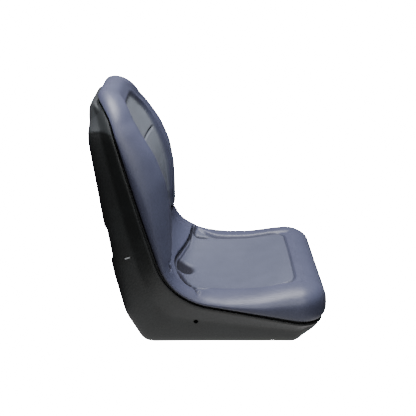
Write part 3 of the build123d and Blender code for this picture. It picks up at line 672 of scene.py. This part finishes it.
    def skin(self, run: Array, across: Array) -> Array:
        """Height of the skin above the rim.

        The bolster's crest falls a little toward the back's panel. Its height then eases down to a
        dished panel over the panel's wall, and rolls off
        toward the edge as a quarter ellipse, whose power is lower where the bolster's side is
        flatter and its crest crisper. The seat's rear edge stands up in front of the crease, dying
        away forward. A scoop and the folds are taken off.

        Args:
            run: Distances along the rim.
            across: Distances from the middle, on either side.

        Returns:
            The heights.
        """
        across = np.abs(across)
        inner = ease((self.sunk(run, across) + self.shoulder_width) / self.shoulder_width)
        on_back = ease((run - self.rim.back(0.25)) / (0.3 * self.rim.back_run))
        bolster = self.bolster.at(run) - self.shoulder_fall * inner * on_back
        half = self.panel_half.at(run) - self.panel_wall
        edge, centre = self.panel_edge.at(run), self.panel_centre.at(run)
        dish = centre + (edge - centre) * np.minimum(1.0, across / half) ** 2
        height = bolster + (dish - bolster) * ease(self.sunk(run, across) / self.panel_wall)
        past = run - self.crease_run(across)
        step = np.where(past < 0, np.exp(np.minimum(past, 0.0) / 26.0), 0.0)
        height = height + self.seat_step * step * ease((across - 20.0) / 70.0) * (1 - ease((across - 188.0) / 20.0))
        height = height - self.scoop_depth * self.scoop(run, across)
        rolled = np.clip((self.rim.edge(run, across) + self.bulge(run)) / self.roll.at(run), 0.0, 1.0)
        level = self.edge_level.at(run) * bolster
        depth, _ = self.folds(run, across)
        power = self.roundness.at(run)
        return level + (height - depth - level) * (1 - (1 - rolled) ** power) ** (1 / power)

    def build(self) -> bpy.types.Object:
        """Build the closed cushion: the skin, its tucked edge and a shallow underside.

        The skin is a grid of distance along the rim by share of the half width. From its border,
        rings turn in under the edge as a quarter ellipse, then run in across the underside to the
        middle line.

        Returns:
            The cushion's object.
        """
        rim = self.rim
        low, high = -self.edge_bulge, rim.length + self.top_bulge
        rows = graded(low, high, 3.6, [
            (low, 0.25, 0.13), (high, 0.25, 0.13), (rim.bend(0.36), 1.0, 0.04), (rim.bend(0.87), 0.8, 0.1),
            (rim.back(0.59), 0.9, 0.12), (self.inlay_front, 1.2, 0.1)])
        wide = rim.half + self.edge_bulge
        columns = graded(-wide, wide, 3.6, [
            (-wide, 0.25, 0.13), (wide, 0.25, 0.13), (-165.0, 1.2, 0.06), (165.0, 1.2, 0.06), (-206.0, 1.2, 0.08), (206.0, 1.2, 0.08)]) / wide
        run = np.repeat(rows[:, None], len(columns), axis=1)
        across = columns * rim.half_width(run, self.bulge(run))
        top = rim.place(run, across, self.skin(run, across))

        count = np.arange(run.size).reshape(run.shape)
        loop = np.concatenate((count[0, :-1], count[:-1, -1], count[-1, :0:-1], count[:0:-1, 0]))
        quads = np.stack((count[:-1, :-1], count[:-1, 1:], count[1:, 1:], count[1:, :-1]), axis=-1).reshape(-1, 4)
        out_run, out_across = run.ravel()[loop], across.ravel()[loop]
        in_run = self.rim_tuck + (out_run - low) / (high - low) * (rim.length - 2 * self.rim_tuck)
        in_across = np.sign(out_across) * np.minimum(np.abs(out_across), rim.half_width(in_run, -self.rim_tuck))
        on_side = np.abs(columns[loop % len(columns)]) > 0.9999
        in_across = np.where(on_side, np.sign(out_across) * rim.half_width(in_run, -self.rim_tuck), in_across)
        level = self.edge_level.at(out_run) * self.bolster.at(out_run)
        rings = []
        for turn in np.linspace(0.0, math.pi / 2, 9)[1:]:
            out = math.cos(turn)
            rings.append(rim.place(in_run + (out_run - in_run) * out, in_across + (out_across - in_across) * out,
                                   level + (1.0 - level) * math.sin(turn)))
        spine = np.clip(in_run, 100.0, rim.length - 100.0)
        for share in (0.95, 0.86, 0.72, 0.4, 0.0):
            ring_run, ring_across = spine + (in_run - spine) * share, in_across * share
            _, z, _, nz = rim.side(ring_run)
            depth = np.minimum(self.foam.at(ring_run), np.where(ring_run < rim.seat_run, (z - 62.0) / nz, 99.0))
            depth = np.maximum(0.0, depth) * ease((rim.edge(ring_run, np.abs(ring_across)) - 24.0) / 26.0)
            rings.append(rim.place(ring_run, ring_across, 1.0 - depth))
        size = len(loop)
        starts = run.size + size * np.arange(len(rings))[:, None] + np.arange(size)
        lines = np.concatenate((loop[None, :], starts))
        after = np.roll(lines, -1, axis=1)
        skirt = np.stack((after[:-1], lines[:-1], lines[1:], after[1:]), axis=-1).reshape(-1, 4)
        points = np.concatenate([top.reshape(-1, 3)] + rings)
        under = np.zeros(size * len(rings))
        marks = {name: np.concatenate((values.ravel(), under))
                 for name, values in self.marks(run, np.abs(across)).items()}
        return mesh_object("vinyl_cushion", points, np.concatenate((quads, skirt)), marks)

    def marks(self, run: Array, across: Array) -> dict[str, Array]:
        """How far each point lies in a panel, and how much painted shade it gets in a fold or the drain's hollow.

        Args:
            run: Distances along the rim.
            across: Distances from the middle, not below zero.

        Returns:
            The two shares, by name.
        """
        rim = self.rim
        on_seat = ease(inside(run - self.inlay_front, across, self.inlay_side(run), self.inlay_corner) / 4.0)
        on_seat = on_seat * (1 - ease((run - rim.bend(0.3)) / 6.0))
        on_back = ease((self.sunk(run, across) - 6.0) / 6.0) * ease((run - rim.bend(0.87)) / 4.0)
        _, fold_shade = self.folds(run, across)
        # The drain's hollow is painted dark too: painted shade.
        fold_shade = np.maximum(fold_shade, ease(1.6 * self.scoop(run, across)))
        return {"panel": np.maximum(self.seat_tint * on_seat, on_back), "fold_shade": fold_shade}

    def dress(self, obj: bpy.types.Object) -> None:
        """Give the cushion its vinyl, hang it from the root body and hide the CAD cushion."""
        obj.data.materials.append(GrainedVinyl().make())
        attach(obj, "root")
        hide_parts("cushion")


@dataclass
class Shell:
    """The moulded plastic shell: a lip round the rim, flanks that lean in to a form line, a flat base."""

    rim: Rim = RIM
    wall: float = 4.0
    floor: float = 6.0
    side_line: tuple[tuple[float, float], ...] = (
        (-294.0, 853.0), (-294.0, 475.0), (-246.0, 178.0), (-221.0, 72.0), (-178.0, -3.0), (177.0, -3.0), (548.0, 306.0))
    top_round: float = 20.0
    top_power: float = 3.0
    top_swell: float = 15.0
    corner_window: int = 15
    rim_inset: float = 1.5
    land_inset: float = 9.0
    inner_inset: float = 13.0
    upstand_drop: float = 2.0
    rim_drop: float = 6.0
    top_drop: float = 3.0
    lip: float = 10.0
    flank_in: float = 20.0
    flank_share: float = 0.38
    wall_in: float = 4.0
    corner_in: float = 26.0
    full_depth: float = 80.0
    front_full_depth: float = 50.0
    band_z: tuple[float, float] = (201.0, 288.0)
    band_depth: float = 7.0
    band_ramp: float = 17.5
    cap_z: float = 497.0
    cap_step: float = 0.9
    hole: tuple[float, float] = (-57.0, 59.0)
    hole_r: float = 5.5
    slit_depth: float = 62.0
    slit_share: float = 0.074
    slit_size: tuple[float, float] = (16.0, 4.0)
    bolts: tuple[float, float] = (292.1, 285.75)
    bolt_r: float = 4.5
    screw_spacing: float = 196.0
    screw_r: float = 2.8
    drain_r: float = 4.0

    def beyond(self, run: Array) -> Array:
        """How far into the rounding of the top, from 0 to 1 at its end."""
        start = self.rim.length - self.rim_inset - self.top_round
        return np.clip((run - start) / self.top_round, 0.0, 1.0)

    def depth(self, run: Array) -> Array:
        """Depth of the shell square to the rim.

        The distance from the rim to the side line, straight away from the sitter, averaged over a
        short window so that the side line's corners come out round. It closes at the top as a
        quarter of a squarish ellipse.

        Args:
            run: Distances along the rim, in order.

        Returns:
            The depths.
        """
        even = np.linspace(run[0], run[-1], 700)
        x, z, nx, nz = self.rim.side(even)
        least = np.full_like(even, np.inf)
        for (ax, az), (bx, bz) in zip(self.side_line, self.side_line[1:]):
            cross = nx * (bz - az) - nz * (bx - ax)
            away = ((x - ax) * (bz - az) - (z - az) * (bx - ax)) / cross
            along = (nx * (z - az) - nz * (x - ax)) / cross
            least = np.where((away > 0) & (along >= 0) & (along <= 1), np.minimum(least, away), least)
        half = self.corner_window // 2
        least = np.convolve(np.pad(least, half, mode="edge"), np.ones(self.corner_window) / self.corner_window, "valid")
        least = np.interp(run, even, least)
        beyond = self.beyond(run)
        closing = (1 - beyond ** self.top_power) ** (1 / self.top_power)
        end = self.lip + 0.5
        return np.maximum(end, end + (least - end) * closing)

    def back_x(self, z: Array) -> Array:
        """How far back the shell's back lies at a height, on a straight line between two corners."""
        (x0, z0), (x1, z1) = self.side_line[2], self.side_line[1]
        return x0 + (x1 - x0) * (z - z0) / (z1 - z0)

    def band(self, points: Array, inward: float) -> Array:
        """Press the shallow band across the back: points behind its floor move forward to it.

        Args:
            points: An array of points, with X, Y and Z on its last axis.
            inward: How far inside the outer face the points' face lies.

        Returns:
            The moved points.
        """
        x, y, z = np.moveaxis(points, -1, 0)
        low, high = self.band_z
        share = np.minimum(ease((z - low) / self.band_ramp), ease((high - z) / self.band_depth))
        floor = self.back_x(z) + inward + self.band_depth * share
        return np.stack((np.where(share > 0, np.maximum(x, floor), x), y, z), axis=-1)

    def half_face(self, run: Array, inward: bool) -> Array:
        """One side of a face, from the rim to the middle of the base.

        Across the rim come the land and the lip, each at its own inset. Then a straight flank leans
        in to the form line, a cubic curve drops to the base, and a flat runs to the middle.

        Args:
            run: Distances along the rim, in order.
            inward: Whether it is the inner face, one wall in, that has no lip.

        Returns:
            Points on a grid of run by step from the rim to the middle.
        """
        rim, run = self.rim, run[:, None]
        wall, floor = (self.wall, self.floor) if inward else (0.0, 0.0)
        depth = self.depth(run[:, 0])[:, None] - (self.wall if inward else 0.0)
        onward = ease((run - rim.seat(0.5)) / rim.seat(0.5))
        share = np.minimum(1.0, depth / (self.front_full_depth + (self.full_depth - self.front_full_depth) * onward))
        edge = rim.half_width(run, -self.inner_inset if inward else -self.rim_inset)
        flank = rim.half_width(run, -self.rim_inset) - share * self.flank_in - wall
        flank = np.minimum(flank, edge)
        line = self.lip + self.flank_share * np.maximum(0.0, depth - self.lip)
        t = np.linspace(0.0, 1.0, 9)[1:]
        across, drop = [edge + (flank - edge) * t], [self.lip + (line - self.lip) * t]
        t = np.linspace(0.0, 1.0, 19)[1:]
        ends = (flank, flank - share * self.wall_in, flank - share * (self.wall_in + 3.0),
                flank - share * (self.wall_in + self.corner_in))
        falls = (line, line + 0.72 * (depth - line), depth, depth)
        weights = ((1 - t) ** 3, 3 * t * (1 - t) ** 2, 3 * t * t * (1 - t), t ** 3)
        across.append(sum(w * e for w, e in zip(weights, ends)))
        drop.append(sum(w * f for w, f in zip(weights, falls)))
        t = np.linspace(1.0, 0.0, 13)[1:]
        across.append(ends[3] * t)
        drop.append(depth + 0.0 * t)
        whole = rim.length - 2 * self.rim_inset
        across, drop = np.concatenate(across, axis=1), np.concatenate(drop, axis=1)
        at = run + self.top_swell * self.beyond(run) * (1 - np.exp((self.lip - drop) / 5.0))
        if inward:
            at = self.inner_inset + (run - self.rim_inset) / whole * (rim.length - 2 * self.inner_inset)
        body = rim.place(at, across, -drop)
        insets = [(self.inner_inset, 0.0), (self.land_inset, 0.0), (self.land_inset, 1.0), (self.rim_inset + 1.6, 1.0),
                  (self.rim_inset + 0.5, 1.1), (self.rim_inset, 1.35), (self.rim_inset, 2.0)]
        if inward:
            insets = [(self.inner_inset, 2.0 * k / 6) for k in range(7)]
        inset, step = np.array(insets).T
        edge_drop = self.rim_drop + (self.top_drop - self.rim_drop) * ease((run - rim.back(0.2)) / (0.7 * rim.back_run))
        fall = np.where(step < 1, self.upstand_drop + (edge_drop - self.upstand_drop) * step,
                        edge_drop + (self.lip - edge_drop) * (step - 1))
        at = inset + (run - self.rim_inset) / whole * (rim.length - 2 * inset)
        lip = rim.place(at, rim.half_width(at, -inset), -fall)
        points = self.band(np.concatenate((lip, body), axis=1), wall)
        points[..., 2] = np.maximum(points[..., 2], floor)
        if not inward:
            raised = ease((points[..., 2] - self.cap_z) / 3.0) * (np.arange(points.shape[1]) > len(insets))
            points[..., 1] += self.cap_step * raised * np.clip(points[..., 1] / 60.0, 0.0, 1.0)
        return points

    def build(self) -> bpy.types.Object:
        """Build the hollow shell: an outer face and an inner face that meet round the rim, then its holes.

        Each face is a grid whose end rows are closed by strips from one side to the other.

        Returns:
            The shell's object.
        """
        rim = self.rim
        low, high = self.rim_inset, rim.length - self.rim_inset
        run = graded(low, high, 5.0, [
            (low, 0.3, 0.12), (high, 0.15, 0.1), (rim.back(0.12), 1.4, 0.05), (rim.back(0.34), 1.4, 0.05), (rim.back(0.85), 1.5, 0.06)])
        faces, points, start = [], [], 0
        for inward in (False, True):
            half = self.half_face(run, inward)
            face = np.concatenate((half, half[:, ::-1] * np.array((1.0, -1.0, 1.0))), axis=1)
            count = start + np.arange(face.shape[0] * face.shape[1]).reshape(face.shape[:2])
            quads = [np.stack((count[:-1, :-1], count[1:, :-1], count[1:, 1:], count[:-1, 1:]), axis=-1).reshape(-1, 4)]
            for end, turn in ((count[0], 1), (count[-1], -1)):
                near, far = end[:half.shape[1]], end[::-1][:half.shape[1]]
                quads.append(np.stack((near[:-1], near[1:], far[1:], far[:-1]), axis=-1)[:, ::turn])
            faces.append(np.concatenate(quads)[:, ::-1] if inward else np.concatenate(quads))
            points.append(face.reshape(-1, 3))
            start += count.size
        shell = mesh_object("moulded_shell", np.concatenate(points), np.concatenate(faces))
        self.cut(shell)
        return shell

    def pegs(self) -> list[tuple[Array, Array]]:
        """The shapes of the shell's holes: for the flanks, the slits, the bolts, the screws and the drain.

        Returns:
            The points and faces of each.
        """
        rim = self.rim
        x, y, z = np.eye(3)
        through = [(-30.0, 0.0), (-30.0, 1.0), (30.0, 1.0), (30.0, 0.0)]
        sunk = [(-5.0, 0.0), (-5.0, 2.04), (0.0, 2.04), (3.6, 1.0), (12.0, 1.0), (12.0, 0.0)]
        run = np.array(rim.back(self.slit_share))
        _, _, nx, nz = rim.side(run)
        out, up = np.array((nx, 0.0, nz)), np.array((-nz, 0.0, nx))
        deep = float(rim.half_width(run, -self.rim_inset)) - self.flank_in
        shapes = []
        for side in (-1.0, 1.0):
            hole = np.array((self.hole[0], side * (rim.half - self.flank_in), self.hole[1]))
            shapes.append((hole, (y, x * self.hole_r, z * self.hole_r), through, 2.0))
            slit = rim.place(run, side * deep, -self.slit_depth)
            shapes.append((slit, (y * 0.4, out * self.slit_size[0] / 2, up * self.slit_size[1] / 2), through, 6.0))
            for end in (-0.5, 0.5):
                bolt = np.array((end * self.bolts[0], side * self.bolts[1] / 2, 0.0))
                shapes.append((bolt, (z, x * self.bolt_r, y * self.bolt_r), [(0.4 * a, b) for a, b in through], 2.0))
                screw = np.array((end * self.screw_spacing, side * self.bolts[1] / 2, 0.0))
                shapes.append((screw, (z, x * self.screw_r, y * self.screw_r), sunk, 2.0))
        low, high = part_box("drain_tube")
        drain = np.array(((low[0] + high[0]) / 2 / MM, 0.0, 0.0))
        shapes.append((drain, (z, x * self.drain_r, y * self.drain_r), [(0.4 * a, b) for a, b in through], 2.0))
        return [self.peg(*shape) for shape in shapes]

    def peg(self, centre: Array, axes: tuple[Array, Array, Array], rings: list[tuple[float, float]],
            power: float) -> tuple[Array, Array]:
        """A closed peg: rings along its axis, each a rounded outline, from a point to a point.

        The outline is a cosine by a sine, each raised to 2 over the power with its sign kept, so that a
        power of 2 gives a circle and a higher power a slot with round corners.

        Args:
            centre: The peg's centre.
            axes: Its axis and its two half widths, as directions.
            rings: For each ring, the distance along the axis and the scale of the outline.
            power: How square the outline is.

        Returns:
            The points and faces.
        """
        turn = np.linspace(0.0, 2 * math.pi, 33)[:-1]
        u, v = (np.sign(w) * np.abs(w) ** (2 / power) for w in (np.cos(turn), np.sin(turn)))
        far, scale = np.array(rings).T[:, :, None]
        points = centre + (far[..., None] * axes[0] + (scale * u)[..., None] * axes[1] + (scale * v)[..., None] * axes[2])
        count = np.arange(points.shape[0] * points.shape[1]).reshape(points.shape[:2])
        after = np.roll(count, -1, axis=1)
        faces = np.stack((count[:-1], after[:-1], after[1:], count[1:]), axis=-1).reshape(-1, 4)
        return points.reshape(-1, 3), faces

    def cut(self, shell: bpy.types.Object) -> None:
        """Cut the holes out of the shell, and keep their edges crisp.

        Args:
            shell: The shell's object.
        """
        starts, points, faces = 0, [], []
        for some_points, some_faces in self.pegs():
            points.append(some_points)
            faces.append(some_faces + starts)
            starts += len(some_points)
        pegs = mesh_object("shell_pegs", np.concatenate(points), np.concatenate(faces))
        for obj in (pegs,):
            work = bmesh.new()
            work.from_mesh(obj.data)
            bmesh.ops.recalc_face_normals(work, faces=work.faces)
            work.to_mesh(obj.data)
            work.free()
        holes = shell.modifiers.new("holes", "BOOLEAN")
        holes.object = pegs
        holes.operation = "DIFFERENCE"
        holes.solver = "EXACT"
        whole = shell.data
        shell.data = bpy.data.meshes.new_from_object(shell.evaluated_get(bpy.context.evaluated_depsgraph_get()))
        shell.modifiers.clear()
        shell.data.name = shell.name
        bpy.data.meshes.remove(whole)
        bpy.data.meshes.remove(pegs.data)
        shell.data.set_sharp_from_angle(angle=math.radians(38.0))
        log.info("%s: %d faces with its holes", shell.name, len(shell.data.polygons))

    def dress(self, obj: bpy.types.Object) -> None:
        """Give the shell its plastic, hang it from the root body and hide the CAD shell."""
        obj.data.materials.append(PebbledPlastic().make())
        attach(obj, "root")
        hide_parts("shell")


@dataclass
class Carcass:
    """The hidden steelwork, whose CAD shapes are kept."""

    steel: tuple[str, ...] = ("seat_board", "back_board", "rail_left", "rail_right")
    zinc: tuple[str, ...] = ("weld_nuts", "base_screws", "hook_left", "hook_right")
    drain: tuple[str, ...] = ("drain_tube",)

    def dress(self) -> None:
        """Give each CAD node its finish."""
        drain = PebbledPlastic(name="black_moulded_nylon", pebble_mm=1.2, roughness=0.5, cap_mm=9000.0)
        for nodes, finish in ((self.steel, PaintedSteel()), (self.zinc, ZincPlate()), (self.drain, drain)):
            material = finish.make()
            for node in nodes:
                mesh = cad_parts[node].data
                mesh.materials.clear()
                mesh.materials.append(material)
                log.info("%s: %s", node, material.name)


@dataclass
class Studio:
    """A white floor, soft lights and the camera."""

    floor_m: float = 60.0
    lens: float = 74.4
    camera_at: tuple[float, float, float] = (-0.054, -2.007, 0.958)
    tilt: float = 70.9
    turn: float = -0.8

    def build_floor(self) -> None:
        """Lay the floor: a square grid whose height is nil."""
        line = np.linspace(-0.5, 0.5, 9) * self.floor_m / MM
        x, y = np.meshgrid(line, line, indexing="ij")
        count = np.arange(x.size).reshape(x.shape)
        faces = np.stack((count[:-1, :-1], count[1:, :-1], count[1:, 1:], count[:-1, 1:]), axis=-1).reshape(-1, 4)
        floor = mesh_object("studio_floor", np.stack((x, y, np.full_like(x, -0.4)), axis=-1).reshape(-1, 3), faces)
        floor.data.materials.append(StudioPaper().make())
        # The seat is lit by the lamps alone, so the glowing paper doesn't wash out its black shell.
        floor.visible_diffuse = False
        floor.visible_glossy = False

    def build_light(self, name: str, at: tuple[float, float, float], size: float, power: float) -> bpy.types.Object:
        """Hang a square soft light that points at the seat.

        Args:
            name: The light's name.
            at: Its place in metres.
            size: Its side in metres.
            power: Its power in watts.

        Returns:
            The light's object.
        """
        lamp = bpy.data.lights.new(name, "AREA")
        lamp.shape = "SQUARE"
        lamp.size = size
        lamp.energy = power
        obj = bpy.data.objects.new(name, lamp)
        bpy.context.scene.collection.objects.link(obj)
        obj.location = at
        obj.visible_camera = False
        away = np.array(at) - np.array((0.0, 0.0, 0.25)) if at[2] > 0 else np.array((0.0, 0.0, -1.0))
        flat = math.hypot(away[0], away[1])
        obj.rotation_euler = (math.atan2(flat, away[2]), 0.0, math.atan2(away[1], away[0]) + math.pi / 2)
        return obj

    def build_sky(self) -> None:
        """Fill the room with even white light."""
        world = bpy.data.worlds.new("studio_sky")
        bpy.context.scene.world = world
        world.use_nodes = True
        sky = world.node_tree.nodes["Background"]
        sky.inputs["Color"].default_value = (1.0, 1.0, 1.0, 1.0)
        sky.inputs["Strength"].default_value = 0.09

    def build_camera(self) -> None:
        """Set the camera at the photograph's viewing angle."""
        lens = bpy.data.cameras.new("camera")
        lens.lens = self.lens
        lens.sensor_width = 36.0
        obj = bpy.data.objects.new("camera", lens)
        bpy.context.scene.collection.objects.link(obj)
        obj.location = self.camera_at
        obj.rotation_euler = (math.radians(self.tilt), 0.0, math.radians(self.turn))
        bpy.context.scene.camera = obj

    def build(self) -> None:
        """Build the floor, the lights and the camera."""
        self.build_floor()
        self.build_sky()
        self.build_light("over", (-0.1, 0.1, 2.4), 1.3, 125.0)
        self.build_light("side", (0.5, -2.0, 1.7), 0.9, 29.0)
        self.build_light("bounce", (0.0, -0.46, -0.0002), 0.6, 1.3).visible_diffuse = False
        self.build_camera()


def main() -> None:
    """Build and dress each piece in order."""
    logging.basicConfig(level=logging.INFO, format="%(name)s: %(message)s")
    cushion = Cushion()
    cushion.dress(cushion.build())
    shell = Shell()
    shell.dress(shell.build())
    Carcass().dress()
    Studio().build()


if __name__ == "__main__":
    main()
